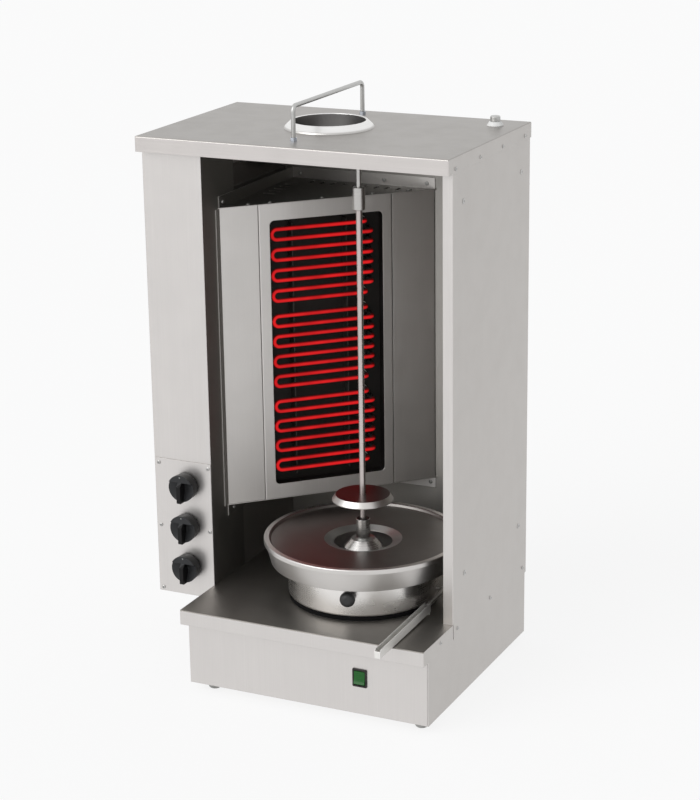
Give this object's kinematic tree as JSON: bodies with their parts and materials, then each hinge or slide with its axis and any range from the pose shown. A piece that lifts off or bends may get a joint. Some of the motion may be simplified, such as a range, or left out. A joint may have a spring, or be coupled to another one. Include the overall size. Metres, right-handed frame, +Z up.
{
  "type": "electric skewer grill",
  "caption": "Upright electric gyros grill: folded steel cabinet, diagonal radiant heater, motor-driven skewer over a grease pan, drum and drain gutter.",
  "frame": {"origin": "on the worktop under the feet, midway between the side lips, midway between the gutter's tip and the roof's rear edge", "axes": "+Z up, +Y towards the back cover, +X towards the right side panel as the user sees it"},
  "size_m": [0.5422, 0.491, 0.9574],
  "materials": {
    "cabinet_steel": "brushed stainless sheet",
    "roof_steel": "brushed stainless sheet",
    "handle_steel": "polished rod",
    "heater_steel": "stainless sheet, heat toned",
    "reflector_steel": "heat darkened stainless",
    "element_sheath": "sheathed heating tube, glowing red",
    "ceramic_fibre": "pressed fibre board and ceramic bush",
    "drum_steel": "spun and folded stainless",
    "seat_rubber": "black rubber",
    "shaft_steel": "turned stainless",
    "bearing_bronze": "sintered bronze",
    "drive_casting": "painted casting",
    "bracket_steel": "zinc plated",
    "screw_steel": "bright steel",
    "knob_plastic": "black phenolic",
    "spindle_steel": "bright steel",
    "housing_plastic": "black thermoplastic",
    "rocker_plastic": "translucent green"
  },
  "bodies": {
    "cabinet": {"base_pan": "cabinet_steel", "feet": "seat_rubber", "work_tray": "cabinet_steel", "right_side_panel": "cabinet_steel", "back_cover": "cabinet_steel", "roof_cap": "roof_steel", "flue_collar": "roof_steel", "roof_handle": "handle_steel", "handle_nuts": "handle_steel", "roof_gland": "roof_steel", "column_wrap": "cabinet_steel", "column_floor": "cabinet_steel", "column_inner_wall": "cabinet_steel", "column_liner": "cabinet_steel", "control_plate": "cabinet_steel", "regulator_upper": "housing_plastic", "regulator_middle": "housing_plastic", "regulator_lower": "housing_plastic", "terminal_block": "housing_plastic", "heater_top_plate": "heater_steel", "heater_bottom_plate": "heater_steel", "heater_cheek_left": "heater_steel", "heater_cheek_right": "heater_steel", "heater_window_panel": "heater_steel", "reflector_box": "reflector_steel", "element_upper": "element_sheath", "element_middle": "element_sheath", "element_lower": "element_sheath", "element_combs": "reflector_steel", "element_insulators": "ceramic_fibre", "insulation_board": "ceramic_fibre", "drum_seat_ring": "seat_rubber", "grease_drum": "drum_steel", "drum_spout": "drum_steel", "shaft_bearing": "bearing_bronze", "gearbox": "drive_casting", "motor": "drive_casting", "motor_bracket": "bracket_steel", "motor_screws": "screw_steel", "top_pin": "shaft_steel", "switch_housing": "housing_plastic", "cabinet_screws": "screw_steel", "side_screws": "screw_steel"},
    "spit": {"drive_shaft": "shaft_steel", "skewer_hub": "shaft_steel", "skewer_rod": "shaft_steel", "disc_stop_pin": "shaft_steel"},
    "meat_disc": {"meat_disc": "shaft_steel"},
    "top_sleeve": {"top_sleeve": "shaft_steel"},
    "knob_upper": {"knob_upper": "knob_plastic", "spindle_upper": "spindle_steel"},
    "knob_middle": {"knob_middle": "knob_plastic", "spindle_middle": "spindle_steel"},
    "knob_lower": {"knob_lower": "knob_plastic", "spindle_lower": "spindle_steel"},
    "switch_rocker": {"switch_rocker": "rocker_plastic"},
    "clamp_knob": {"clamp_knob": "knob_plastic"},
    "drip_pan": {"drip_pan": "drum_steel", "pan_spigot": "drum_steel"},
    "grease_gutter": {"grease_gutter": "drum_steel"}
  },
  "joints": [
    {"name": "spit_spin", "type": "hinge", "parent": "cabinet", "child": "spit", "pos_m": [0.079, -0.0075, 0.235], "axis": [0, 0, 1], "continuous": true},
    {"name": "disc_lift", "type": "slide", "parent": "spit", "child": "meat_disc", "axis": [0, 0, 1], "range_m": [0, 0.45]},
    {"name": "sleeve_lift", "type": "slide", "parent": "cabinet", "child": "top_sleeve", "axis": [0, 0, 1], "range_m": [0, 0.022]},
    {"name": "knob_upper_turn", "type": "hinge", "parent": "cabinet", "child": "knob_upper", "pos_m": [-0.208, -0.0787, 0.3187], "axis": [0, 1, 0], "range_deg": [0, 270]},
    {"name": "knob_middle_turn", "type": "hinge", "parent": "cabinet", "child": "knob_middle", "pos_m": [-0.208, -0.0787, 0.2475], "axis": [0, 1, 0], "range_deg": [0, 270]},
    {"name": "knob_lower_turn", "type": "hinge", "parent": "cabinet", "child": "knob_lower", "pos_m": [-0.208, -0.0787, 0.1764], "axis": [0, 1, 0], "range_deg": [0, 270]},
    {"name": "switch_rock", "type": "hinge", "parent": "cabinet", "child": "switch_rocker", "pos_m": [0.1505, -0.1754, 0.0775], "axis": [1, 0, 0], "range_deg": [0, 14]},
    {"name": "clamp_turn", "type": "hinge", "parent": "cabinet", "child": "clamp_knob", "pos_m": [0.11111, -0.13347, 0.191], "axis": [0.247, -0.969, 0], "range_deg": [0, 360]},
    {"name": "pan_lift", "type": "slide", "parent": "cabinet", "child": "drip_pan", "axis": [0, 0, 1], "range_m": [0, 0.018]},
    {"name": "gutter_pull", "type": "slide", "parent": "cabinet", "child": "grease_gutter", "axis": [0, -1, 0], "range_m": [0, 0.12]}
  ]
}
